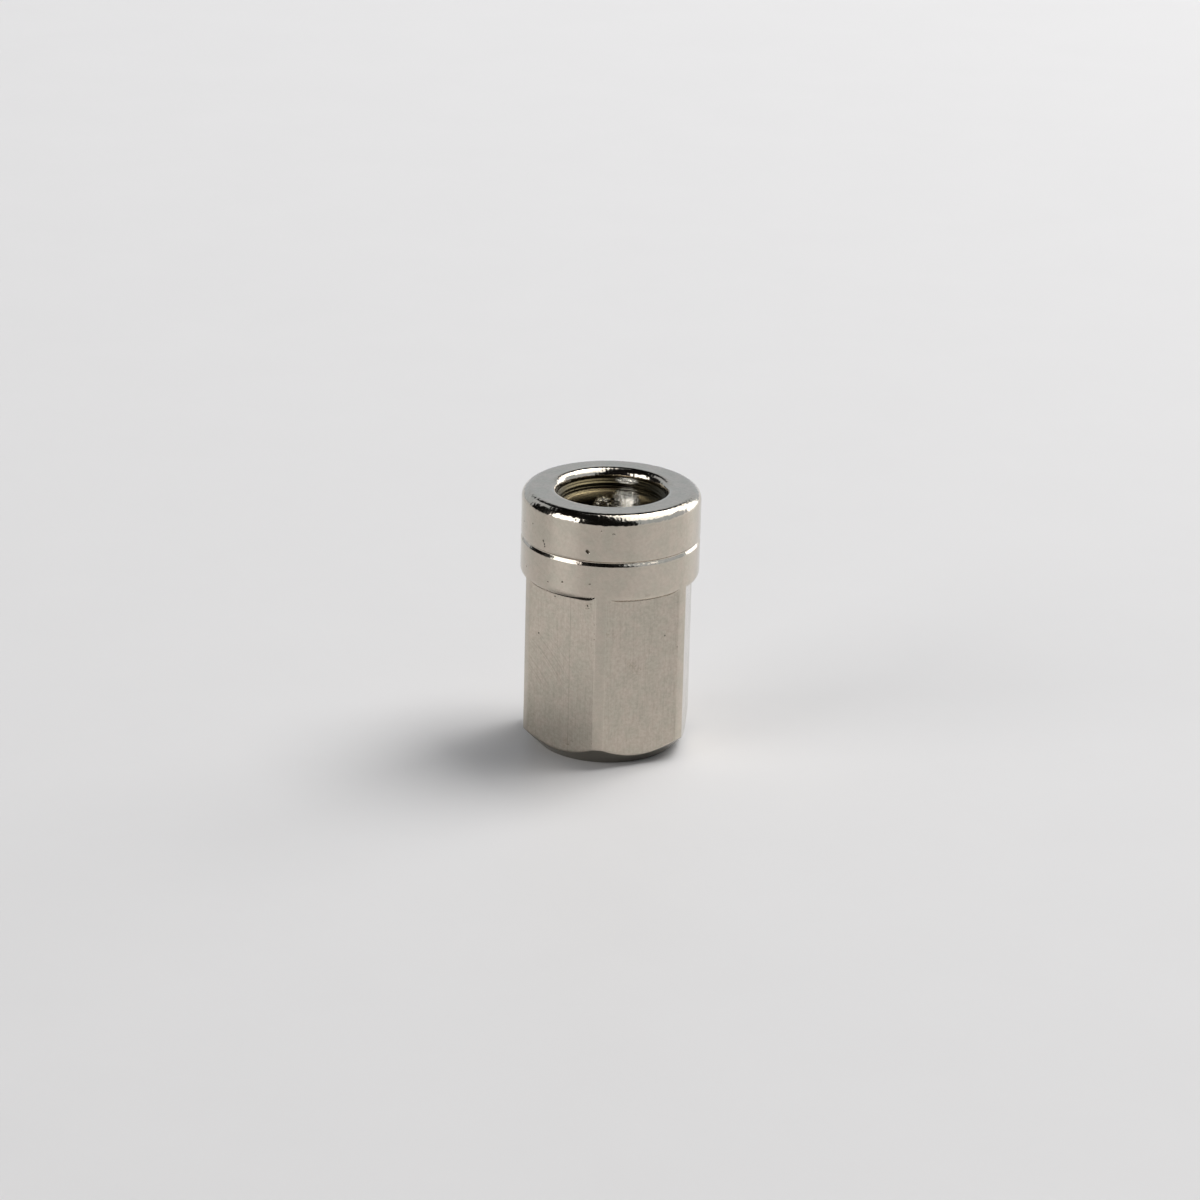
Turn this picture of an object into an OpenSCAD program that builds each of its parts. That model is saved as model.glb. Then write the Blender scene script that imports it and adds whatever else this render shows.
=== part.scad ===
// Cap nut, turned from round bar in one piece: a round collar of two bands
// with the threaded mouth in its top face, six milled flats below it, and a
// closed, chamfered end that it stands on.
// Origin: on the axis, on the closed end's face. +Z runs out of the mouth.
// Units: millimetres.

/* [Overall] */
// diameter of the collar, and of the bar the flats are cut from
collar_d = 16.8; // [13:0.1:21]
// full height, closed end to mouth face
height = 25.2; // [20:0.1:32]
// distance across two opposite flats
across_flats = 15; // [11.5:0.1:18.5]

/* [Collar] */
// height of the collar, both bands together
collar_h = 8.6; // [6.5:0.1:11]
// height of the lower band, from the flats up to the groove
lower_band_h = 3.65; // [2.4:0.05:5]
// radius of the mouth face's outer edge
top_edge_r = 1; // [0.4:0.05:1.6]
// radius of the collar's lower edge, above the flats
under_edge_r = 0.8; // [0.3:0.05:1.2]

/* [Groove between the bands] */
// depth of the groove below the collar's surface
groove_depth = 0.2; // [0.1:0.02:0.3]
// height of the groove's sloping lower side
groove_lower_h = 0.33; // [0.2:0.01:0.6]
// height of the groove's rounded upper side
groove_upper_h = 0.33; // [0.31:0.01:0.6]

/* [Closed end] */
// diameter of the flat face that the nut stands on
end_face_d = 12.8; // [9:0.1:16]

/* [Threaded mouth] */
// radius of the rounded lip
lip_r = 0.72; // [0.3:0.02:1]
// length of the plain opening below the lip
mouth_h = 0.2; // [0.1:0.05:1]
// room all round between the plain opening and the thread's outer diameter
mouth_gap = 0.15; // [0.05:0.05:0.4]
// outer diameter of the thread
thread_d = 10; // [8:0.1:12.5]
// pitch of the thread
thread_pitch = 0.35; // [0.25:0.05:0.5]
// length of the threaded wall below the lead-in
thread_length = 0.6; // [0.4:0.1:4]

/* [Pocket below the thread] */
// diameter of the drilled pocket
pocket_d = 9; // [7:0.1:9.3]
// thickness of the closed end, below the tip of the drilled pocket
end_wall = 5.4; // [2:0.1:9]
// angle of the drilled tip at the pocket's bottom
tip_angle = 118; // [90:1:140]

/* [Hidden] */
$fn = 96;
eps = 0.2;
collar_r = collar_d / 2;
collar_z = height - collar_h;
groove_z = collar_z + lower_band_h;
groove_bottom_z = groove_z + groove_lower_h;
groove_top_z = groove_bottom_z + groove_upper_h;
groove_top_r = (groove_depth * groove_depth + groove_upper_h * groove_upper_h)
    / (2 * groove_depth);
end_face_r = end_face_d / 2;
end_leg = collar_r - end_face_r;
crest_r = thread_d / 2 - 0.541 * thread_pitch;
mouth_r = thread_d / 2 + mouth_gap;
lead_in = mouth_r - crest_r;
lead_in_z = height - lip_r - mouth_h;
thread_top_z = lead_in_z - lead_in;
thread_end_z = thread_top_z - thread_length;
pocket_r = pocket_d / 2;
tip_h = pocket_r / tan(tip_angle / 2);
pocket_z = end_wall + tip_h;
hex_top_z = collar_z + lower_band_h / 2;

nickel = [0.66, 0.63, 0.58];

// a quarter disc, centre at the origin, in the quadrant of +x and +y
module quarter(r) {
    intersection() {
        circle(r = r);
        square([r + eps, r + eps]);
    }
}

// half section of the lower band, its lower outer edge rounded and the
// groove's lower side sloping in at its top
module lower_band_section() {
    polygon([
        [0, collar_z + under_edge_r],
        [collar_r, collar_z + under_edge_r],
        [collar_r, groove_z],
        [collar_r - 2 * groove_depth, groove_z + 2 * groove_lower_h],
        [0, groove_z + 2 * groove_lower_h]
    ]);
    translate([0, collar_z])
        square([collar_r - under_edge_r, lower_band_h]);
    translate([collar_r - under_edge_r, collar_z + under_edge_r])
        mirror([0, 1])
            quarter(under_edge_r);
}

// half section of the upper band, its lower edge rounding down into the
// groove's bottom
module upper_band_section() {
    translate([0, groove_top_z])
        square([collar_r, height - groove_top_z - top_edge_r]);
    translate([0, groove_bottom_z])
        square([collar_r - groove_top_r, height - groove_bottom_z - top_edge_r]);
    translate([collar_r - groove_top_r, groove_top_z])
        mirror([0, 1])
            quarter(groove_top_r);
    translate([0, height - top_edge_r - eps])
        square([collar_r - top_edge_r, top_edge_r + eps]);
    translate([collar_r - top_edge_r, height - top_edge_r])
        quarter(top_edge_r);
}

// the round collar
module collar() {
    rotate_extrude() {
        union() {
            lower_band_section();
            upper_band_section();
        }
    }
}

// the milled body: bar of the collar's diameter cut to six flats, its end
// chamfered at 45 degrees
module flats_body() {
    intersection() {
        rotate_extrude()
            polygon([
                [0, 0],
                [end_face_r, 0],
                [collar_r, end_leg],
                [collar_r, hex_top_z],
                [0, hex_top_z]
            ]);
        rotate([0, 0, 30])
            cylinder(r = across_flats / sqrt(3), h = hex_top_z, $fn = 6);
    }
}

// the lip's opening, flaring out to the mouth face in a quarter round
module lip_cut() {
    rotate_extrude()
        difference() {
            translate([0, height - lip_r])
                square([mouth_r + lip_r, lip_r + eps]);
            translate([mouth_r + lip_r, height - lip_r])
                circle(r = lip_r);
        }
}

// the bore: plain opening, lead-in, threaded wall, pocket and drilled tip
module bore_cut() {
    rotate_extrude()
        polygon([
            [0, end_wall],
            [pocket_r, pocket_z],
            [pocket_r, thread_end_z],
            [crest_r, thread_end_z],
            [crest_r, thread_top_z],
            [mouth_r, lead_in_z],
            [mouth_r, height - lip_r + eps / 2],
            [0, height - lip_r + eps / 2]
        ]);
}

module cap_nut() {
    color(nickel)
        difference() {
            union() {
                collar();
                flats_body();
            }
            lip_cut();
            bore_cut();
        }
}

cap_nut();
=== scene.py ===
"""Cap nut: a turned collar with a threaded mouth, six milled flats below it and
a closed, chamfered end. One nickel-plated piece, standing on its closed end."""

import math

import bmesh
import bpy
from bpy.props import FloatProperty, FloatVectorProperty, PointerProperty
from mathutils import Euler, Matrix, Vector


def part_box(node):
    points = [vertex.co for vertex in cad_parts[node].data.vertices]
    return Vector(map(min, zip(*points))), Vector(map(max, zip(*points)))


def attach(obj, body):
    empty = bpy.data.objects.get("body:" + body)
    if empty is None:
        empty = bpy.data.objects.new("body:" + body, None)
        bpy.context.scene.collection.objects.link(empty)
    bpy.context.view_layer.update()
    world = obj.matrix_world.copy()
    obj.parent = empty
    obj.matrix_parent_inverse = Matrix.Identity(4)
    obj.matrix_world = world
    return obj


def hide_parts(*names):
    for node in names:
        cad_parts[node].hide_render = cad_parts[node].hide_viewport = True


bl_info = {
    "name": "Cap nut",
    "version": (1, 0, 0),
    "blender": (4, 5, 0),
    "location": "View3D > Sidebar > Cap nut",
    "description": "Turns and mills a plated cap nut and sets up its studio",
    "category": "Object",
}

MM = 0.001
TURN = 2.0 * math.pi
FLATS = 6
# the two flats that face the camera: degrees round from the corner between them
FRONT_LEFT, FRONT_RIGHT = -30.0, 30.0
# the camera stands this far round from that corner
CAMERA_AZIMUTH = math.radians(4.79)

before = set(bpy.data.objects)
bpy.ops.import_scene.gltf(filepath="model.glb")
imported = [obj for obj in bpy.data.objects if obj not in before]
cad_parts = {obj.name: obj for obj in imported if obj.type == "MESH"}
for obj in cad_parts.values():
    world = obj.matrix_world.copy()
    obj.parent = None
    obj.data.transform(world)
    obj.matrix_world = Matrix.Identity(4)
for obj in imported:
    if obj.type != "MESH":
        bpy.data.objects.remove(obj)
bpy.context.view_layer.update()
nut_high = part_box("cap_nut")[1]


def linear(hex_colour):
    """An sRGB hex colour as linear red, green, blue and alpha."""
    parts = [int(hex_colour[i:i + 2], 16) / 255.0 for i in (1, 3, 5)]
    out = [c / 12.92 if c <= 0.04045 else ((c + 0.055) / 1.055) ** 2.4 for c in parts]
    return (*out, 1.0)


# --------------------------------------------------------------------------
# Sizes and finishes that a user would change


class CapNutSizes(bpy.types.PropertyGroup):
    collar_radius: FloatProperty(
        name="Collar radius", description="Outer radius of the collar and of the bar",
        default=nut_high[0], min=0.002, unit="LENGTH", precision=5)
    height: FloatProperty(
        name="Height", description="Closed end to mouth face",
        default=nut_high[2], min=0.004, unit="LENGTH", precision=5)
    half_flats: FloatProperty(
        name="Axis to flat", description="Distance from the axis to each milled flat",
        default=7.5 * MM, min=0.001, unit="LENGTH", precision=5)
    collar_height: FloatProperty(
        name="Collar height", description="Height of both bands together",
        default=8.6 * MM, min=0.001, unit="LENGTH", precision=5)
    lower_band: FloatProperty(
        name="Lower band height", description="From the top of the flats to the groove",
        default=3.65 * MM, min=0.001, unit="LENGTH", precision=5)
    top_edge: FloatProperty(
        name="Mouth edge radius", description="Rounding of the mouth face's outer edge",
        default=1.0 * MM, min=0.0001, unit="LENGTH", precision=5)
    under_edge: FloatProperty(
        name="Lower edge radius", description="Rounding of the collar above the flats",
        default=0.8 * MM, min=0.0001, unit="LENGTH", precision=5)
    groove_depth: FloatProperty(
        name="Groove depth", description="Depth of the groove between the bands",
        default=0.2 * MM, min=0.00005, unit="LENGTH", precision=5)
    groove_lower: FloatProperty(
        name="Groove lower side", description="Height of the groove's sloping lower side",
        default=0.33 * MM, min=0.0001, unit="LENGTH", precision=5)
    groove_upper: FloatProperty(
        name="Groove upper side", description="Height of the groove's rounded upper side",
        default=0.33 * MM, min=0.0001, unit="LENGTH", precision=5)
    end_radius: FloatProperty(
        name="End face radius", description="Radius of the flat end that the nut stands on",
        default=6.4 * MM, min=0.001, unit="LENGTH", precision=5)
    thread_radius: FloatProperty(
        name="Thread radius", description="Outer radius of the thread, at its roots",
        default=5.0 * MM, min=0.001, unit="LENGTH", precision=5)
    thread_pitch: FloatProperty(
        name="Thread pitch", description="Rise of the thread in one turn",
        default=0.35 * MM, min=0.0001, unit="LENGTH", precision=5)
    thread_length: FloatProperty(
        name="Thread length", description="Threaded wall below the lead-in",
        default=0.6 * MM, min=0.0001, unit="LENGTH", precision=5)
    lip_radius: FloatProperty(
        name="Lip radius", description="Rounding of the mouth's lip",
        default=0.72 * MM, min=0.0001, unit="LENGTH", precision=5)
    mouth_height: FloatProperty(
        name="Plain opening", description="Length of the plain opening below the lip",
        default=0.2 * MM, min=0.0001, unit="LENGTH", precision=5)
    mouth_gap: FloatProperty(
        name="Opening's room", description="Room round the thread in the plain opening",
        default=0.15 * MM, min=0.0, unit="LENGTH", precision=5)
    pocket_radius: FloatProperty(
        name="Pocket radius", description="Radius of the drilled pocket",
        default=4.5 * MM, min=0.001, unit="LENGTH", precision=5)
    end_wall: FloatProperty(
        name="End wall", description="Thickness of the closed end below the drilled tip",
        default=5.4 * MM, min=0.0005, unit="LENGTH", precision=5)


class CapNutFinish(bpy.types.PropertyGroup):
    plate_colour: FloatVectorProperty(
        name="Nickel plate", description="Colour that the bright nickel plate reflects",
        default=linear("#BEB5A9"), size=4, subtype="COLOR", min=0.0, max=1.0)
    milled_colour: FloatVectorProperty(
        name="Nickel on milled flats", description="Colour of the plate over the milled flats",
        default=linear("#B8AFA3"), size=4, subtype="COLOR", min=0.0, max=1.0)
    bore_colour: FloatVectorProperty(
        name="Thin plate in the bore", description="Colour of the thin, brassy plate inside",
        default=linear("#8E8268"), size=4, subtype="COLOR", min=0.0, max=1.0)
    end_colour: FloatVectorProperty(
        name="Darker plate on the end", description="Darker colour of the plate on the end chamfer",
        default=linear("#8A857B"), size=4, subtype="COLOR", min=0.0, max=1.0)


class CapNutStage(bpy.types.PropertyGroup):
    floor_colour: FloatVectorProperty(
        name="Floor", description="Colour of the matt table",
        default=linear("#E0DEDD"), size=4, subtype="COLOR", min=0.0, max=1.0)
    key_light: FloatProperty(
        name="Key box", description="Brightness of the box above and behind, to the right",
        default=6.65, min=0.0)
    overhead_light: FloatProperty(
        name="Overhead reflector", description="Brightness of the wide reflector above",
        default=2.1, min=0.0)
    side_light: FloatProperty(
        name="Front-left box", description="Brightness of the box at the front left",
        default=2.87, min=0.0)
    rear_light: FloatProperty(
        name="Rear-right box", description="Brightness of the upright box behind, right",
        default=2.43, min=0.0)
    surround: FloatProperty(
        name="Surround", description="Brightness of the pale surround",
        default=0.72, min=0.0)
    ambient: FloatProperty(
        name="Ambient", description="Brightness of the light from all round",
        default=0.2, min=0.0)


# --------------------------------------------------------------------------
# Wear. Angles are degrees round from the middle corner, the rest is millimetres.

# pits in the collar: angle, height, radius
PITS = ((-9.7, 21.7, 0.15), (-9.0, 21.6, 0.13), (-42.9, 21.7, 0.12), (-41.9, 21.45, 0.08),
        (-41.6, 21.2, 0.07), (-54.6, 22.88, 0.07), (-68.8, 22.42, 0.08), (6.5, 23.52, 0.08),
        (7.5, 23.5, 0.06), (-1.0, 23.74, 0.06), (-26.4, 18.28, 0.09), (-37.9, 17.86, 0.06),
        (-62.6, 18.28, 0.07), (-7.6, 18.48, 0.07))
# nicks and specks on the flats: the flat's angle, distance to the right of its middle,
# height, radius
NICKS = ((FRONT_LEFT, -2.656, 12.2, 0.09), (FRONT_LEFT, -0.9, 16.28, 0.08),
         (FRONT_RIGHT, 2.321, 12.68, 0.08), (FRONT_RIGHT, 3.637, 11.36, 0.06),
         (FRONT_LEFT, 3.72, 2.62, 0.06), (FRONT_LEFT, 3.68, 13.05, 0.07),
         (FRONT_LEFT, 3.68, 13.6, 0.05), (FRONT_LEFT, 3.68, 14.5, 0.05),
         (FRONT_LEFT, 2.83, 16.2, 0.1), (FRONT_LEFT, 3.005, 15.95, 0.06),
         (FRONT_LEFT, 2.66, 15.85, 0.05))
# stains on the flats, given as the nicks are
STAINS = ((FRONT_LEFT, -3.52, 3.8, 0.4), (FRONT_RIGHT, -1.02, 10.2, 0.45),
          (FRONT_RIGHT, -0.635, 9.5, 0.4), (FRONT_LEFT, 0.74, 2.06, 0.5),
          (FRONT_LEFT, 2.83, 16.2, 0.35), (FRONT_RIGHT, -3.985, 13.5, 0.6))
# on the bore's far wall, painted highlights: a grainy bright patch below the thread, a dim patch
# to its left and a bright one in the lead-in above, each with an angle, a height and a radius
GRAINY_HIGHLIGHTS = ((165.84, 22.3, 1.2), (165.84, 21.2, 1.35))
DIM = ((195.45, 21.8, 0.8),)
BRIGHT = ((168.47, 24.175, 1.0),)
# the bright lead-in highlight lies flat: it is this many times as wide as it is high
BRIGHT_FLATNESS = 4.0


def around(radius, angle, z):
    """A point at a radius given in metres, as x, y and z in millimetres."""
    turn = math.radians(angle)
    return radius / MM * math.sin(turn), -radius / MM * math.cos(turn), z


def on_flat(half_flats, angle, along, z):
    """A point in the plane of a flat, as x, y and z in millimetres."""
    x, y, z = around(half_flats, angle, z)
    turn = math.radians(angle)
    return x + along * math.cos(turn), y + along * math.sin(turn), z


# --------------------------------------------------------------------------
# The turned and milled shape

# columns that the profile is spun into, and those from a corner's middle to a flat's
COLUMNS = 288
HALF_SIXTH = COLUMNS // FLATS // 2
# of these, the columns on the corner's strip, the columns over the edge between strip and
# flat, and the degrees that the last ones reach on each side of that edge
STRIP_COLUMNS, EDGE_COLUMNS, EDGE_SPREAD = 3, 8, 1.1
# lengths of the soft edges: round the end face, between chamfer and flat, in the cove above
# a flat, at the flats' upright edges and at the groove's lower edge
END_SOFT = 0.12 * MM
CHAMFER_SOFT = 0.13 * MM
COVE = 0.07 * MM
CORNER_SOFT = 0.05 * MM
GROOVE_SOFT = 0.05 * MM
# a row this close to a soft edge keeps it from shading the whole flat
FLAT_MARGIN = 0.1 * MM
# the rows that follow the flats' cut end this far above the collar's rounded lower edge
BAND_START = 0.5 * MM
# the mouth face lies this far below the raised line round the lip, which is flat for the
# first width from the lip and reaches the face at the second
SUNK = 0.008 * MM
RAISED_FLAT, RAISED = 0.16 * MM, 0.36 * MM
# the thread: depth in pitches, share of a pitch that its crest leaves flat, share that both
# flanks take, how much the flanks bend into the root, and the run-out in pitches
THREAD_DEPTH = 0.541
CREST_FLAT = 0.12
FLANKS = 0.8
ROOT_BEND = 0.35
RUN_OUT = 0.9
# the drilled pocket: angle of its tip, wall below the last even row, share of the tip's
# cone that its soft edge takes
TIP_ANGLE = math.radians(118.0)
POCKET_FOOT = 0.3 * MM
TIP_SOFT = 0.05
# a 45 degree slope goes this far along each axis for each unit of its length
DIAGONAL = math.sqrt(0.5)
# the end face's rows, as shares of its radius, and the mark of rows that aren't milled
END_ROWS = (0.0, 0.25, 0.5, 0.75, 0.92)
UNMILLED = 100000
# distances too small to tell apart, in metres: for dividing, merging and comparing
TINY, MERGED, SLACK = 1e-9, 1e-7, 1e-6
# slots of the nut's materials; the last is a painted shade under the collar
TURNED, MILLED, BORE, END, UNDERSIDE_SHADE = range(5)


def line(a, b, count):
    """Points from a to b, without a itself."""
    return [(a[0] + (b[0] - a[0]) * i / count, a[1] + (b[1] - a[1]) * i / count)
            for i in range(1, count + 1)]


def arc(centre, radius, start, end, count):
    """Points on an arc from the start angle to the end angle, in degrees, without the first."""
    turns = [math.radians(start + (end - start) * i / count) for i in range(1, count + 1)]
    return [(centre[0] + radius * math.cos(t), centre[1] + radius * math.sin(t)) for t in turns]


def eased(a, corner, b, count):
    """Points on the soft edge from a to b that rounds off a corner, without a itself."""
    out = []
    for i in range(1, count + 1):
        t = i / count
        out.append(tuple((1 - t) ** 2 * a[k] + 2 * t * (1 - t) * corner[k] + t * t * b[k]
                         for k in (0, 1)))
    return out


def evenly(path, start, count):
    """Points at even steps along a path, from a distance along it to its end: that point
    and count more."""
    lengths = [0.0]
    for p, q in zip(path, path[1:]):
        lengths.append(lengths[-1] + math.dist(p, q))
    out, leg = [], 0
    for i in range(count + 1):
        far = start + (lengths[-1] - start) * i / count
        while leg < len(path) - 2 and far > lengths[leg + 1]:
            leg += 1
        t = (far - lengths[leg]) / max(lengths[leg + 1] - lengths[leg], TINY)
        p, q = path[leg], path[leg + 1]
        out.append((p[0] + (q[0] - p[0]) * t, p[1] + (q[1] - p[1]) * t))
    return out


def lower_rows(sizes, reach):
    """Radius and height of each row, from the end face to the lower band, for a bar
    whose surface here stands at the given reach from the axis."""
    full, end, edge = sizes.collar_radius, sizes.end_radius, sizes.under_edge
    under_z = sizes.height - sizes.collar_height
    # the collar's rounded lower edge starts where it meets the bar
    inner = full - edge
    if reach <= inner:
        first, meet_z = -90.0, under_z
    else:
        first = -math.degrees(math.acos(min((reach - inner) / edge, 1.0)))
        meet_z = under_z + edge - edge * math.sin(math.radians(-first))
    # closed end's edge, then the chamfer up to its edge with the flat
    rows = [(end - END_SOFT, 0.0)]
    rows += eased(rows[0], (end, 0.0), (end + END_SOFT * DIAGONAL, END_SOFT * DIAGONAL), 4)
    flat_foot = (reach, reach - end)
    chamfer_end = (reach - CHAMFER_SOFT * DIAGONAL, flat_foot[1] - CHAMFER_SOFT * DIAGONAL)
    flat_start = (reach, flat_foot[1] + CHAMFER_SOFT)
    rows += line(rows[-1], chamfer_end, 5)
    rows += eased(chamfer_end, flat_foot, flat_start, 5)
    # the flat, up to the small cove under the collar
    flat_end = (reach, meet_z - COVE)
    rows += line(flat_start, (reach, flat_start[1] + FLAT_MARGIN), 1)
    rows += line(rows[-1], (reach, flat_end[1] - FLAT_MARGIN), 24)
    rows += line(rows[-1], flat_end, 1)
    # underside and rounded lower edge as one path, walked at even steps
    path = [(reach, meet_z)]
    if reach < inner:
        path.append((inner, under_z))
    path += arc((inner, under_z + edge), edge, first, 0.0, 24)
    path += line((full, under_z + edge), (full, under_z + edge + BAND_START), 8)
    band = evenly(path, COVE, 22)
    rows += eased(flat_end, path[0], band[0], 4)
    return rows + band[1:]


def bore_levels(sizes):
    """Radius of the plain opening and of the thread's crests, then the heights where the
    lead-in starts and where the thread starts and ends."""
    mouth = sizes.thread_radius + sizes.mouth_gap
    crest = sizes.thread_radius - THREAD_DEPTH * sizes.thread_pitch
    lead_z = sizes.height - sizes.lip_radius - sizes.mouth_height
    thread_z = lead_z - (mouth - crest)
    return mouth, crest, lead_z, thread_z, thread_z - sizes.thread_length


def groove_levels(sizes):
    """Heights where the groove starts and ends."""
    start = sizes.height - sizes.collar_height + sizes.lower_band
    return start, start + sizes.groove_lower + sizes.groove_upper


def upper_rows(sizes):
    """Radius and height of each row above the lower band's start: groove, upper band,
    mouth face, lip, threaded wall, pocket and drilled tip."""
    full, height, edge = sizes.collar_radius, sizes.height, sizes.top_edge
    depth, lower, upper = sizes.groove_depth, sizes.groove_lower, sizes.groove_upper
    groove_z, groove_end = groove_levels(sizes)
    start = (full, height - sizes.collar_height + sizes.under_edge + BAND_START)
    # groove: a crisp edge, a sloping lower side, then a round back out to the band
    slope = math.hypot(depth, lower)
    edge_end = (full - GROOVE_SOFT * depth / slope, groove_z + GROOVE_SOFT * lower / slope)
    rows = line(start, (full, groove_z - GROOVE_SOFT), 5)
    rows += eased(rows[-1], (full, groove_z), edge_end, 4)
    rows += line(rows[-1], (full - depth, groove_z + lower), 3)
    round_r = (depth * depth + upper * upper) / (2 * depth)
    sweep = math.degrees(math.asin(upper / round_r))
    rows += arc((full - round_r, groove_end), round_r, -sweep, 0, 8)
    rows += line(rows[-1], (full, height - edge), 8)
    # rounded top edge, then the mouth face with the raised line round the lip
    rows += arc((full - edge, height - SUNK - edge), edge, 0, 90, 16)
    mouth, crest, lead_z, thread_z, end_z = bore_levels(sizes)
    lip = sizes.lip_radius
    rows += line(rows[-1], (mouth + lip + RAISED, height - SUNK), 4)
    rows += line(rows[-1], (mouth + lip + RAISED_FLAT, height), 3)
    rows += line(rows[-1], (mouth + lip, height), 2)
    # lip, plain opening, lead-in and threaded wall
    rows += arc((mouth + lip, height - lip), lip, 90, 180, 14)
    rows += line(rows[-1], (mouth, lead_z), 3)
    rows += line(rows[-1], (crest, thread_z), 14)
    rows += line(rows[-1], (crest, end_z), 26)
    # the step down to the pocket is eased, as a tap leaves it
    pocket, wall = sizes.pocket_radius, sizes.end_wall
    rows += line(rows[-1], (pocket, end_z - (crest - pocket) / 2), 6)
    tip_h = pocket / math.tan(TIP_ANGLE / 2)
    rows += line(rows[-1], (pocket, wall + tip_h + POCKET_FOOT), 16)
    below = (pocket * (1 - TIP_SOFT), wall + tip_h * (1 - TIP_SOFT))
    rows += eased(rows[-1], (pocket, wall + tip_h), below, 4)
    rows += line(below, (0.0, wall), 6)
    return rows


def flats_reach(sizes, angle):
    """Distance from the axis to the bar's surface at an angle: the nearest flat or the
    bar's own round, with a soft edge between them."""
    step = TURN / FLATS
    off = (angle + step / 2) % step - step / 2
    flat = sizes.half_flats / math.cos(off)
    full = sizes.collar_radius
    mix = min(max(0.5 + 0.5 * (flat - full) / CORNER_SOFT, 0.0), 1.0)
    return flat + (full - flat) * mix - CORNER_SOFT * mix * (1 - mix)


def column_angle(sizes, turn):
    """Moves the evenly spun columns so that they crowd round the corners of the flats.
    The turn runs from a corner, in parts of a sixth of the way round."""
    whole = math.floor(turn + 0.5)
    part = abs(turn - whole) * 2.0
    side = 1.0 if turn >= whole else -1.0
    half = math.degrees(TURN / FLATS / 2)
    corner = half - math.degrees(math.acos(sizes.half_flats / sizes.collar_radius))
    knots = [(0.0, 0.0), (STRIP_COLUMNS / HALF_SIXTH, corner - EDGE_SPREAD),
             ((STRIP_COLUMNS + EDGE_COLUMNS) / HALF_SIXTH, corner + EDGE_SPREAD), (1.0, half)]
    for (p0, a0), (p1, a1) in zip(knots, knots[1:]):
        if part <= p1 + TINY:
            angle = a0 + (a1 - a0) * (part - p0) / (p1 - p0)
            break
    return math.radians(whole * 2 * half + side * angle)


def mill(mesh, sizes, rows_low):
    """Cuts the six flats: each spun row below the collar follows the bar's new reach."""
    row = mesh.verts.layers.int["row"]
    at = {}
    for v in mesh.verts:
        radius = math.hypot(v.co.x, v.co.y)
        if radius < MERGED:
            continue
        step = round((math.atan2(v.co.x, -v.co.y) / TURN % 1.0) * COLUMNS)
        angle = column_angle(sizes, step * FLATS / COLUMNS)
        if v[row] < rows_low:
            if step not in at:
                reach = flats_reach(sizes, angle - TURN / FLATS / 2)
                at[step] = lower_rows(sizes, reach)
            radius, v.co.z = at[step][v[row]]
        v.co.x = math.sin(angle) * radius
        v.co.y = -math.cos(angle) * radius


def tap(mesh, sizes):
    """Cuts the thread into the bore: a V groove that climbs one pitch a turn and gets
    shallower over its last turn."""
    mouth, crest, lead_z, _, end_z = bore_levels(sizes)
    for v in mesh.verts:
        radius = math.hypot(v.co.x, v.co.y)
        if not (crest - SLACK < radius < mouth + SLACK
                and end_z - SLACK <= v.co.z <= lead_z + SLACK):
            continue
        around_axis = math.atan2(v.co.y, v.co.x) / TURN
        phase = (v.co.z / sizes.thread_pitch - around_axis) % 1.0
        vee = 1.0 - abs(phase * 2.0 - 1.0)
        vee = min(max((vee - CREST_FLAT) / FLANKS, 0.0), 1.0)
        vee = vee * vee * (3 - 2 * vee) * ROOT_BEND + vee * (1 - ROOT_BEND)
        fade = min(max((v.co.z - end_z) / (RUN_OUT * sizes.thread_pitch), 0.0), 1.0)
        cut = crest + (sizes.thread_radius - crest) * vee * fade
        if cut > radius:
            v.co.x *= cut / radius
            v.co.y *= cut / radius


def material_of(face, sizes):
    """The slot that a face takes its material from."""
    centre, normal = face.calc_center_median(), face.normal
    bore_foot, bore_top = 0.1 * MM, sizes.height - sizes.lip_radius - 0.02 * MM
    if (math.hypot(centre.x, centre.y) < sizes.thread_radius + sizes.mouth_gap + SLACK
            and bore_foot < centre.z < bore_top):
        return BORE
    under_z = sizes.height - sizes.collar_height
    band_z = under_z + sizes.under_edge
    if centre.z < under_z / 2 and normal.z < -0.6:
        return END
    # painted shade, a black band, lies where the underside faces down by more than this; on the
    # front left it also climbs the rounded edge, higher towards the middle corner
    downward = 0.8
    angle = math.degrees(math.atan2(centre.x, -centre.y))
    if 2 * FRONT_LEFT < angle < 0.0:
        downward = 0.3 - 0.012 * angle
    if under_z - 0.2 * MM < centre.z < band_z and normal.z < -downward:
        return UNDERSIDE_SHADE
    step = TURN / FLATS
    facing = math.atan2(normal.x, -normal.y) % step - step / 2
    if centre.z < band_z and abs(normal.z) < 0.3 and abs(facing) < math.radians(2.0):
        return MILLED
    return TURNED


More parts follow.
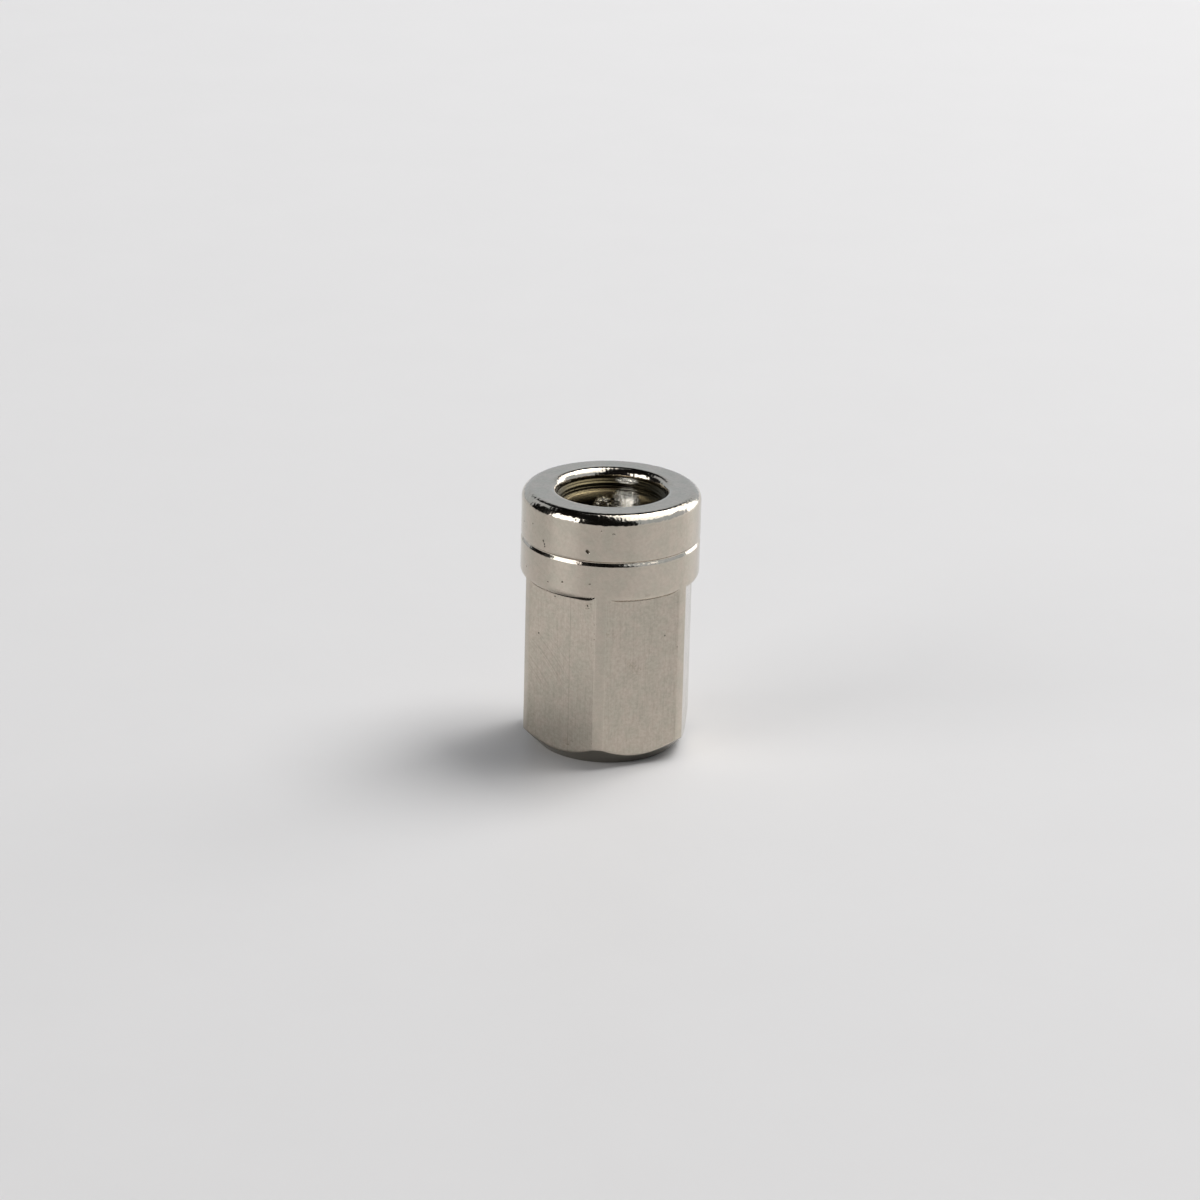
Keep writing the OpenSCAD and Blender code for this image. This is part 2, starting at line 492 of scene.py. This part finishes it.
def turn_nut(name, sizes):
    """Spins the profile into a closed blank, mills the flats and taps the mouth."""
    end_rows = [(share * sizes.end_radius, 0.0) for share in END_ROWS]
    body = lower_rows(sizes, sizes.collar_radius)
    mesh = bmesh.new()
    row = mesh.verts.layers.int.new("row")
    verts = []
    for i, (r, z) in enumerate(end_rows + body + upper_rows(sizes), -len(end_rows)):
        v = mesh.verts.new((0.0, -r, z))
        v[row] = i if i >= 0 else UNMILLED
        verts.append(v)
    edges = [mesh.edges.new(pair) for pair in zip(verts, verts[1:])]
    bmesh.ops.spin(mesh, geom=verts + edges, cent=(0, 0, 0), axis=(0, 0, 1), dvec=(0, 0, 0),
                   angle=TURN, space=Matrix.Identity(4), steps=COLUMNS,
                   use_merge=True, use_duplicate=False)
    bmesh.ops.remove_doubles(mesh, verts=mesh.verts[:], dist=MERGED)
    mill(mesh, sizes, len(body))
    tap(mesh, sizes)
    bmesh.ops.recalc_face_normals(mesh, faces=mesh.faces[:])
    mesh.normal_update()
    for face in mesh.faces:
        face.smooth = True
        face.material_index = material_of(face, sizes)
    piece = placed(name, mesh)
    weighted = piece.modifiers.new("Weighted normals", "WEIGHTED_NORMAL")
    weighted.mode = "FACE_AREA"
    weighted.weight = 50
    return piece


def placed(name, mesh):
    """Turns a finished bmesh into an object of the scene, at the origin."""
    data = bpy.data.meshes.new(name)
    mesh.to_mesh(data)
    mesh.free()
    made = bpy.data.objects.new(name, data)
    bpy.context.collection.objects.link(made)
    return made


# --------------------------------------------------------------------------
# Materials

# node settings that are used again and again
SMOOTH = {"interpolation_type": "SMOOTHSTEP"}
COLOURS = {"data_type": "RGBA"}
PRODUCT = {"operation": "MULTIPLY"}
LARGEST = {"operation": "MAXIMUM"}
DIFFERENCE = {"operation": "SUBTRACT"}
APART = {"operation": "DISTANCE"}
ALONG = {"operation": "DOT_PRODUCT"}


def add(tree, kind, settings=None, **sockets):
    """Adds a node, sets its properties and fills its sockets. A socket goes by its label,
    with _ for a space, or by its number, as in i0. It is given a constant, a socket to link,
    or a node, whose first open output is linked."""
    made = tree.nodes.new("ShaderNode" + kind)
    for key, value in (settings or {}).items():
        setattr(made, key, value)
    for key, value in sockets.items():
        numbered = key[0] == "i" and key[1:].isdigit()
        socket = made.inputs[int(key[1:]) if numbered else key.replace("_", " ")]
        if isinstance(value, bpy.types.Node):
            value = next(output for output in value.outputs if output.enabled)
        if isinstance(value, bpy.types.NodeSocket):
            tree.links.new(value, socket)
        else:
            socket.default_value = value
    return made


def start_material(name):
    """A new material and its empty node tree."""
    material = bpy.data.materials.new(name)
    material.use_nodes = True
    tree = material.node_tree
    tree.nodes.clear()
    return material, tree


def per_mm(size):
    """Texture scale, in cells a metre, for a pattern whose cells are size millimetres wide."""
    return 1.0 / (size * MM)


def tinted(colour, *parts):
    """The colour with its red, green and blue each scaled."""
    return [min(c * k, 1.0) for c, k in zip(colour, parts)] + [1.0]


def mottled(tree, at, colour, depth):
    """Clouds the plate's colour as old plate shows: patches a millimetre or two wide, tan
    against green-grey, with blotches a third of a millimetre wide in them."""
    cloud = add(tree, "TexNoise", Vector=at, Scale=per_mm(1.4), Detail=4.0, Roughness=0.65)
    blotch = add(tree, "TexNoise", Vector=at, Scale=per_mm(0.3), Detail=3.0, Roughness=0.7)
    patch = add(tree, "Mix", COLOURS, A=tinted(colour, 0.95, 0.975, 0.955),
                B=tinted(colour, 1.04, 1.02, 1.01),
                Factor=add(tree, "MapRange", SMOOTH, Value=cloud, From_Min=0.36, From_Max=0.64))
    level = add(tree, "MapRange", SMOOTH, Value=blotch, From_Min=0.3, From_Max=0.7,
                To_Min=1.0 - depth, To_Max=1.0 + depth)
    return add(tree, "VectorMath", {"operation": "SCALE"}, i0=patch, Scale=level)


def marks(tree, at, places, ragged):
    """Mask of small round marks with ragged edges: 1 inside, 0 outside. Each place is
    x, y, z and radius in millimetres, and so is the raggedness."""
    noise = add(tree, "TexNoise", Vector=at, Scale=per_mm(0.3), Detail=3.0, Roughness=0.6)
    # the noise's mean is a half, so the centres move by half of its reach
    moved = add(tree, "VectorMath", {"operation": "MULTIPLY_ADD"}, i0=noise.outputs["Color"],
                i1=[ragged * 4 * MM] * 3, i2=at)
    mask = 0.0
    for *place, radius in places:
        away = add(tree, "VectorMath", APART, i0=moved,
                   i1=[(c + ragged * 2) * MM for c in place])
        spot = add(tree, "MapRange", SMOOTH, Value=away, From_Min=radius * 0.5 * MM,
                   From_Max=radius * 1.3 * MM, To_Min=1.0, To_Max=0.0)
        mask = add(tree, "Math", LARGEST, i0=mask, i1=spot)
    return mask


def level_mask(tree, height, rise, fall, top):
    """Mask of a range of heights: up from 0 over the rise, back to 0 over the fall."""
    up = add(tree, "MapRange", SMOOTH, Value=height, From_Min=rise[0], From_Max=rise[1],
             To_Max=top)
    down = add(tree, "MapRange", SMOOTH, Value=height, From_Min=fall[0], From_Max=fall[1],
               To_Min=1.0, To_Max=0.0)
    return add(tree, "Math", PRODUCT, i0=up, i1=down)


def turned_plate(colour, sizes):
    """Bright nickel plate over turned brass: a near mirror that rolls a little, as plate
    does over tool marks, frayed in the rounded edges, with faint clouds and a few pits."""
    material, tree = start_material("Nickel plate on turned brass")
    at = add(tree, "TexCoord").outputs["Object"]
    # the plate's orange peel: waves about half a millimetre long
    peel = add(tree, "TexNoise", Vector=at, Scale=per_mm(0.6), Detail=3.0, Roughness=0.5)
    # fine grain, drawn at 0.12 mm so that it shows
    grain = add(tree, "TexNoise", Vector=at, Scale=per_mm(0.12), Detail=3.0, Roughness=0.6)
    cloud = add(tree, "TexNoise", Vector=at, Scale=per_mm(2.5), Detail=3.0, Roughness=0.6)
    # short waves that fray the reflections in the rounded top edge, the lip and the groove
    fray = add(tree, "TexNoise", Vector=at, Scale=per_mm(0.3), Detail=0.0)
    height = add(tree, "SeparateXYZ", Vector=at).outputs["Z"]
    edge_z = sizes.height - sizes.top_edge
    edges = level_mask(tree, height, (edge_z - 0.2 * MM, edge_z + 0.1 * MM),
                       (sizes.height - 0.1 * MM, sizes.height - 0.01 * MM), 1.0)
    groove_z, groove_end = groove_levels(sizes)
    groove = level_mask(tree, height, (groove_z - 0.1 * MM, groove_z + 0.05 * MM),
                        (groove_end - 0.06 * MM, groove_end + 0.09 * MM), 0.5)
    where = add(tree, "Math", LARGEST, i0=edges, i1=groove)
    waves = add(tree, "Math", PRODUCT, i0=fray, i1=where)
    pits = marks(tree, at, [(*around(sizes.collar_radius, angle, z), r) for angle, z, r in PITS],
                 0.04)
    rolled = add(tree, "Bump", Height=peel, Strength=0.6, Distance=0.025 * MM)
    frayed = add(tree, "Bump", Height=waves, Strength=1.0, Distance=0.019 * MM, Normal=rolled)
    grained = add(tree, "Bump", Height=grain, Strength=0.3, Distance=0.003 * MM, Normal=frayed)
    pitted = add(tree, "Bump", {"invert": True}, Height=pits, Strength=1.0,
                 Distance=0.04 * MM, Normal=grained)
    base = add(tree, "Mix", COLOURS, Factor=pits, A=mottled(tree, at, colour, 0.05),
               B=linear("#4A4338"))
    rough = add(tree, "MapRange", SMOOTH, Value=cloud, From_Min=0.3, From_Max=0.7,
                To_Min=0.1, To_Max=0.15)
    shader = add(tree, "BsdfPrincipled", Metallic=1.0, Base_Color=base, Roughness=rough,
                 Normal=pitted)
    add(tree, "OutputMaterial", Surface=shader)
    return material


def milled_plate(colour, sizes):
    """Nickel plate over milled brass: satin and clouded, with fine upright grain, the arcs
    of the cutter on the front-left flat, and a few stains and nicks."""
    material, tree = start_material("Nickel plate on milled brass")
    at = add(tree, "TexCoord").outputs["Object"]
    half_flats, shaded = sizes.half_flats, linear("#4A443C")
    stretched = add(tree, "Mapping", Vector=at, Scale=(1.0, 1.0, 0.05))
    streak = add(tree, "TexNoise", Vector=stretched, Scale=per_mm(0.14), Detail=3.0,
                 Roughness=0.7)
    grain = add(tree, "TexNoise", Vector=at, Scale=per_mm(0.12), Detail=2.0, Roughness=0.6)
    cloud = add(tree, "TexNoise", Vector=at, Scale=per_mm(1.6), Detail=4.0, Roughness=0.65)
    # upright grain lines, a little darker
    lines = add(tree, "MapRange", SMOOTH, Value=streak, From_Min=0.45, From_Max=0.7,
                To_Max=0.11)
    # the cutter's arcs: rings round a point off the flat's lower left, in its middle only
    swept = add(tree, "VectorMath", APART, i0=at,
                i1=[c * MM for c in on_flat(half_flats, FRONT_LEFT, -13.0, -1.5)])
    rings = add(tree, "TexNoise", {"noise_dimensions": "1D"}, W=swept, Scale=per_mm(0.2),
                Detail=2.0)
    where = marks(tree, at, [(*on_flat(half_flats, FRONT_LEFT, -2.0, 9.5), 3.0)], 0.2)
    arcs = add(tree, "Math", PRODUCT, i0=where,
               i1=add(tree, "MapRange", SMOOTH, Value=rings, From_Min=0.45, From_Max=0.65,
                      To_Max=0.14))
    # one thin upright line down the same flat, to the right of its middle
    turn = math.radians(FRONT_LEFT)
    across = add(tree, "VectorMath", ALONG, i0=at, i1=[math.cos(turn), math.sin(turn), 0.0])
    off = add(tree, "Math", DIFFERENCE, i0=across, i1=0.92 * MM)
    off = add(tree, "Math", {"operation": "ABSOLUTE"}, i0=off)
    outward = add(tree, "VectorMath", ALONG, i0=at, i1=[math.sin(turn), -math.cos(turn), 0.0])
    scored = add(tree, "Math", PRODUCT,
                 i0=add(tree, "MapRange", SMOOTH, Value=off, From_Min=0.02 * MM,
                        From_Max=0.07 * MM, To_Min=0.2, To_Max=0.0),
                 i1=add(tree, "MapRange", SMOOTH, Value=outward,
                        From_Min=half_flats - 0.2 * MM, From_Max=half_flats - 0.05 * MM))
    # stains, broken up by the grain, and nicks
    stained, nicks = (
        marks(tree, at, [(*on_flat(half_flats, angle, along, z), r)
                         for angle, along, z, r in places], ragged)
        for places, ragged in ((STAINS, 0.7), (NICKS, 0.04)))
    stained = add(tree, "Math", PRODUCT, i0=stained,
                  i1=add(tree, "MapRange", SMOOTH, Value=grain, From_Min=0.35, From_Max=0.65,
                         To_Min=0.02, To_Max=0.34))
    base = mottled(tree, at, colour, 0.09)
    for mask, tone in ((lines, shaded), (arcs, shaded), (scored, shaded),
                       (stained, linear("#6B5A40")), (nicks, linear("#3A342C"))):
        base = add(tree, "Mix", COLOURS, Factor=mask, A=base, B=tone)
    streaked = add(tree, "Bump", Height=streak, Strength=0.4, Distance=0.006 * MM)
    grained = add(tree, "Bump", Height=grain, Strength=0.4, Distance=0.004 * MM,
                  Normal=streaked)
    rough = add(tree, "MapRange", SMOOTH, Value=cloud, From_Min=0.3, From_Max=0.7,
                To_Min=0.1, To_Max=0.16)
    shader = add(tree, "BsdfPrincipled", Metallic=1.0, Base_Color=base, Roughness=rough,
                 Normal=grained)
    add(tree, "OutputMaterial", Surface=shader)
    return material


def end_plate(colour):
    """Plate on the turned end chamfer: rougher, and darker in colour than the rest."""
    material, tree = start_material("Darker nickel plate on the end chamfer")
    at = add(tree, "TexCoord").outputs["Object"]
    grain = add(tree, "TexNoise", Vector=at, Scale=per_mm(0.3), Detail=4.0, Roughness=0.65)
    bumped = add(tree, "Bump", Height=grain, Strength=0.3, Distance=0.01 * MM)
    shader = add(tree, "BsdfPrincipled", Metallic=1.0, Base_Color=colour, Roughness=0.3,
                 Normal=bumped)
    add(tree, "OutputMaterial", Surface=shader)
    return material


def bore_plate(colour, sizes):
    """Thin, brassy plate inside the bore: dark and grainy, with painted highlights in a grainy
    patch of the far wall and in the lead-in above it: near-white colour, with bumps that face
    them a little upwards."""
    material, tree = start_material("Thin nickel plate in the bore")
    at = add(tree, "TexCoord").outputs["Object"]
    height = add(tree, "SeparateXYZ", Vector=at).outputs["Z"]
    thread_end = bore_levels(sizes)[-1]
    grain = add(tree, "TexNoise", Vector=at, Scale=per_mm(0.14), Detail=3.0, Roughness=0.7)
    # the painted highlight patches, the grainy ones and the lead-in's, seen in a space drawn out
    # upwards
    grainy_highlight, dim = (
        marks(tree, at, [(*around(sizes.pocket_radius, angle, z), r) for angle, z, r in places],
              0.2)
        for places in (GRAINY_HIGHLIGHTS, DIM))
    grainy_highlight = add(tree, "Math", LARGEST, i0=grainy_highlight, i1=add(tree, "Math", PRODUCT, i0=dim, i1=0.4))
    drawn = add(tree, "Mapping", Vector=at, Scale=(1.0, 1.0, BRIGHT_FLATNESS))
    lead = marks(tree, drawn, [(*around(sizes.thread_radius, angle, z * BRIGHT_FLATNESS), r)
                               for angle, z, r in BRIGHT], 0.05)
    bright = add(tree, "Math", LARGEST, i0=grainy_highlight, i1=lead)
    # the grainy highlight's bump leans it back by two parts in five, the lead-in's forward by
    # one in four
    below = add(tree, "Math", DIFFERENCE, i0=thread_end + 0.16 * MM, i1=height)
    leans = add(tree, "Math", {"operation": "MULTIPLY_ADD"}, i0=lead, i1=-0.65, i2=grainy_highlight)
    lean = add(tree, "Math", PRODUCT, i0=below, i1=leans)
    leaned = add(tree, "Bump", Height=lean, Strength=1.0, Distance=0.42)
    bumped = add(tree, "Bump", Height=grain, Strength=1.0, Distance=0.04 * MM, Normal=leaned)
    # dark grains in the painted highlight patches
    specks = add(tree, "MapRange", SMOOTH, Value=grain, From_Min=0.52, From_Max=0.64,
                 To_Max=0.65)
    metal = add(tree, "Mix", COLOURS, Factor=specks, A=linear("#FFFAEE"),
                B=tinted(colour, 0.5, 0.5, 0.45))
    # the threaded wall is darker than the pocket below it
    thread_darkening = add(tree, "MapRange", SMOOTH, Value=height, From_Min=thread_end - 0.24 * MM,
                From_Max=thread_end + 0.16 * MM)
    wall = add(tree, "Mix", COLOURS, Factor=thread_darkening, A=tinted(colour, 0.5, 0.48, 0.43),
               B=tinted(colour, 0.18, 0.18, 0.16))
    # painted highlight: the patches take a near-white colour over the dark wall
    base = add(tree, "Mix", COLOURS, Factor=bright, A=wall, B=metal)
    rough = add(tree, "MapRange", SMOOTH, Value=grainy_highlight, To_Min=0.2, To_Max=0.24)
    shader = add(tree, "BsdfPrincipled", Metallic=1.0, Base_Color=base, Roughness=rough,
                 Normal=bumped)
    add(tree, "OutputMaterial", Surface=shader)
    return material


def painted_underside_shade():
    """Painted shade under the collar: a black, nearly matt band."""
    material, tree = start_material("Painted shade under the collar")
    shader = add(tree, "BsdfPrincipled", Base_Color=linear("#1E1A14"), Roughness=0.5,
                 Specular_IOR_Level=0.1)
    add(tree, "OutputMaterial", Surface=shader)
    return material


def painted_table(colour):
    """Matt white table: it carries the shadow, and a faint sheen at a low angle."""
    material, tree = start_material("Matt painted table")
    at = add(tree, "TexCoord").outputs["Object"]
    mottle = add(tree, "TexNoise", Vector=at, Scale=per_mm(14.0), Detail=4.0, Roughness=0.6)
    mixed = add(tree, "Mix", COLOURS, Factor=mottle, A=tinted(colour, *[0.985] * 3),
                B=tinted(colour, *[1.015] * 3))
    # the light falls off towards the camera, over 0.43 m of the table
    away = add(tree, "VectorMath", ALONG, i0=at, i1=direction(180.0))
    fall = add(tree, "MapRange", Value=away, From_Min=-0.13, From_Max=0.3, To_Min=0.94,
               To_Max=1.07)
    toned = add(tree, "VectorMath", {"operation": "SCALE"}, i0=mixed, Scale=fall)
    shader = add(tree, "BsdfPrincipled", Base_Color=toned, Roughness=0.5,
                 Specular_IOR_Level=0.3)
    add(tree, "OutputMaterial", Surface=shader)
    return material


def black_felt():
    """Black felt on the dark cards: no sheen at all."""
    material, tree = start_material("Black felt")
    shader = add(tree, "BsdfPrincipled", Base_Color=linear("#141414"), Roughness=1.0,
                 Specular_IOR_Level=0.0)
    add(tree, "OutputMaterial", Surface=shader)
    return material


def glowing_reflector(strength):
    """White reflector: a painted glow, standing in for cloth lit evenly from outside the
    picture.
    """
    material, tree = start_material("White reflector")
    glow = add(tree, "Emission", Strength=strength)
    add(tree, "OutputMaterial", Surface=glow)
    return material


# --------------------------------------------------------------------------
# Stage, in metres, with azimuths in degrees from the camera towards its right

UP = Vector((0.0, 0.0, 1.0))
TABLE_RADIUS = 4.0
# soft boxes: azimuth, distance along the table and height of the centre, width and height
# of the lit face
KEY_BOX = (118.0, 1.36, 1.96, 1.5, 1.7)
SIDE_BOX = (-61.0, 1.0, 0.41, 0.69, 0.78)
REAR_BOX = (128.0, 1.2, 0.47, 0.58, 0.92)
# the cards overhead are turned this far; their height, then their corners as distances to
# the right and away from the camera. The reflector's left edge passes over the nut.
OVERHEAD_TURN = 20.0
REFLECTOR = (2.0, ((0.08, 2.0), (1.8, 2.1), (2.9, 1.1), (2.8, -1.9), (1.92, -2.08),
                   (0.6, -0.94), (0.12, -0.7)))
DARK_ROOF = (1.02, ((0.0, 1.3), (-1.7, 1.3), (-1.7, -0.5), (0.0, -0.9)))
# dark cards round the nut: azimuths of both ends, distance, elevations or heights of both
# edges
DARK_FRONT = (-42.0, 33.0, 0.17, 0.14)
DARK_LEFT = (-120.0, -80.0, 0.35, 0.28)
DARK_BACK = (215.0, 145.0, 6.0, 27.0, 60.0)
# the camera: distance and elevation from the nut's middle, lens and sensor in millimetres,
# how far it is off level, and how far it looks to the left of the nut and above it
CAMERA_DISTANCE = 0.46911
CAMERA_ELEVATION = 20.646
LENS, SENSOR = 149.37, 36.0
OFF_LEVEL = math.radians(1.51)
LOOK_LEFT, LOOK_UP = 0.001716, 0.002617


def direction(azimuth, elevation=0.0):
    """Unit vector from the nut, with both angles in degrees."""
    a = math.radians(azimuth) + CAMERA_AZIMUTH
    e = math.radians(elevation)
    return Vector((math.sin(a) * math.cos(e), -math.cos(a) * math.cos(e), math.sin(e)))


def soft_box(name, box, radiance, faces_down=False):
    """An area lamp of a given radiance that faces the nut's axis, or the table below it."""
    azimuth, distance, z, width, height = box
    out = direction(azimuth)
    back, upright = (UP, out) if faces_down else (out, UP)
    data = bpy.data.lights.new(name, "AREA")
    data.shape = "RECTANGLE"
    data.size = width
    data.size_y = height
    data.energy = radiance * math.pi * width * height
    lamp = bpy.data.objects.new(name, data)
    turn = Matrix((upright.cross(back), upright, back)).transposed().to_4x4()
    lamp.matrix_world = Matrix.Translation(out * distance + UP * z) @ turn
    lamp.visible_camera = False
    bpy.context.collection.objects.link(lamp)
    return lamp


def card(name, corners, material):
    """A flat card from its corners, seen only in what the metal reflects."""
    mesh = bmesh.new()
    mesh.faces.new([mesh.verts.new(corner) for corner in corners])
    made = placed(name, mesh)
    made.data.materials.append(material)
    made.visible_camera = made.visible_diffuse = made.visible_shadow = False
    return made


def overhead_card(name, outline, material):
    """A level card above the nut."""
    height, corners = outline
    across, along = direction(90.0 + OVERHEAD_TURN), direction(OVERHEAD_TURN)
    return card(name, [across * x + along * y + UP * height for x, y in corners], material)


def standing_card(name, place, material):
    """An upright card that stands on the table near the nut."""
    left, right, distance, height = place
    foot = [direction(azimuth) * distance for azimuth in (left, right)]
    return card(name, [*foot, foot[1] + UP * height, foot[0] + UP * height], material)


def make_floor(colour):
    """The round table, with its top at the nut's end face."""
    mesh = bmesh.new()
    bmesh.ops.create_circle(mesh, cap_ends=True, segments=96, radius=TABLE_RADIUS)
    floor = placed("table", mesh)
    floor.data.materials.append(painted_table(colour))
    return floor


def make_world(strength, ambient):
    """A pale surround that the camera and the metal see, and that barely lights the scene."""
    world = bpy.data.worlds.new("Studio surround")
    world.use_nodes = True
    tree = world.node_tree
    tree.nodes.clear()
    path = add(tree, "LightPath")
    seen = path.outputs["Is Camera Ray"]
    for kind in ("Is Glossy Ray", "Is Transmission Ray"):
        seen = add(tree, "Math", LARGEST, i0=seen, i1=path.outputs[kind])
    level = add(tree, "MapRange", Value=seen, To_Min=ambient, To_Max=strength)
    tone = add(tree, "Mix", COLOURS, Factor=seen, A=linear("#F3F8FE"), B=linear("#EBF4FE"))
    back = add(tree, "Background", Strength=level, Color=tone)
    add(tree, "OutputWorld", Surface=back)
    bpy.context.scene.world = world


def make_camera(height):
    """The photograph's camera, aimed near the middle of a nut of this height."""
    data = bpy.data.cameras.new("Camera")
    data.sensor_width = SENSOR
    data.lens = LENS
    data.clip_start = 0.01
    data.clip_end = 20.0
    camera = bpy.data.objects.new("Camera", data)
    target = UP * (height / 2)
    camera.location = target + direction(0.0, CAMERA_ELEVATION) * CAMERA_DISTANCE
    aim = (target - camera.location).to_track_quat("-Z", "Y").to_matrix()
    off_level = Euler((0.0, 0.0, OFF_LEVEL)).to_matrix()
    aside = Matrix.Rotation(LOOK_LEFT, 3, "Y") @ Matrix.Rotation(LOOK_UP, 3, "X")
    camera.matrix_world = (Matrix.Translation(camera.location)
                           @ (aim @ off_level @ aside).to_4x4())
    bpy.context.collection.objects.link(camera)
    bpy.context.scene.camera = camera


# --------------------------------------------------------------------------
# Operators


class CAPNUT_OT_make_nut(bpy.types.Operator):
    """Turn, mill and tap the nut, and plate it"""
    bl_idname = "capnut.make_nut"
    bl_label = "Make the nut"

    def execute(self, context):
        sizes, finish = context.scene.capnut_sizes, context.scene.capnut_finish
        piece = turn_nut("plated_cap_nut", sizes)
        if not piece.data.polygons:
            raise RuntimeError("the nut has no faces")
        # in the order of the slots; the last is the painted shade under the collar
        for material in (turned_plate(finish.plate_colour, sizes),
                         milled_plate(finish.milled_colour, sizes),
                         bore_plate(finish.bore_colour, sizes),
                         end_plate(finish.end_colour), painted_underside_shade()):
            piece.data.materials.append(material)
        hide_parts("cap_nut")
        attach(piece, "root")
        return {"FINISHED"}


class CAPNUT_OT_make_stage(bpy.types.Operator):
    """Lay the table and set the soft boxes, the dark cards and the camera"""
    bl_idname = "capnut.make_stage"
    bl_label = "Make the stage"

    def execute(self, context):
        scene, stage = context.scene, context.scene.capnut_stage
        floor = make_floor(stage.floor_colour)
        soft_box("Key box", KEY_BOX, stage.key_light, faces_down=True)
        soft_box("Front-left box", SIDE_BOX, stage.side_light)
        soft_box("Rear-right box", REAR_BOX, stage.rear_light)
        black, white = black_felt(), glowing_reflector(stage.overhead_light)
        left, right, distance, low, high = DARK_BACK
        back = [direction(azimuth, elevation) * distance for azimuth, elevation in
                ((left, low), (right, low), (right, high), (left, high))]
        cards = [overhead_card("Overhead reflector", REFLECTOR, white),
                 overhead_card("Dark roof", DARK_ROOF, black),
                 standing_card("Dark front", DARK_FRONT, black),
                 standing_card("Dark left", DARK_LEFT, black),
                 card("Dark back", back, black)]
        make_world(stage.surround, stage.ambient)
        make_camera(scene.capnut_sizes.height)
        scene.view_settings.view_transform = "Standard"
        return {"FINISHED"}


class CAPNUT_PT_panel(bpy.types.Panel):
    """Sizes, finishes and stage of the cap nut"""
    bl_idname = "CAPNUT_PT_panel"
    bl_label = "Cap nut"
    bl_space_type = "VIEW_3D"
    bl_region_type = "UI"
    bl_category = "Cap nut"

    def draw(self, context):
        layout, scene = self.layout, context.scene
        for group in (scene.capnut_sizes, scene.capnut_finish, scene.capnut_stage):
            box = layout.box()
            for key in group.__annotations__:
                box.prop(group, key)
        layout.operator(CAPNUT_OT_make_nut.bl_idname)
        layout.operator(CAPNUT_OT_make_stage.bl_idname)


CLASSES = (CapNutSizes, CapNutFinish, CapNutStage, CAPNUT_OT_make_nut,
           CAPNUT_OT_make_stage, CAPNUT_PT_panel)


def register():
    for cls in CLASSES:
        bpy.utils.register_class(cls)
    bpy.types.Scene.capnut_sizes = PointerProperty(type=CapNutSizes)
    bpy.types.Scene.capnut_finish = PointerProperty(type=CapNutFinish)
    bpy.types.Scene.capnut_stage = PointerProperty(type=CapNutStage)


def unregister():
    del bpy.types.Scene.capnut_stage
    del bpy.types.Scene.capnut_finish
    del bpy.types.Scene.capnut_sizes
    for cls in reversed(CLASSES):
        bpy.utils.unregister_class(cls)


def main():
    register()
    bpy.ops.capnut.make_nut()
    bpy.ops.capnut.make_stage()


if __name__ == "__main__":
    main()
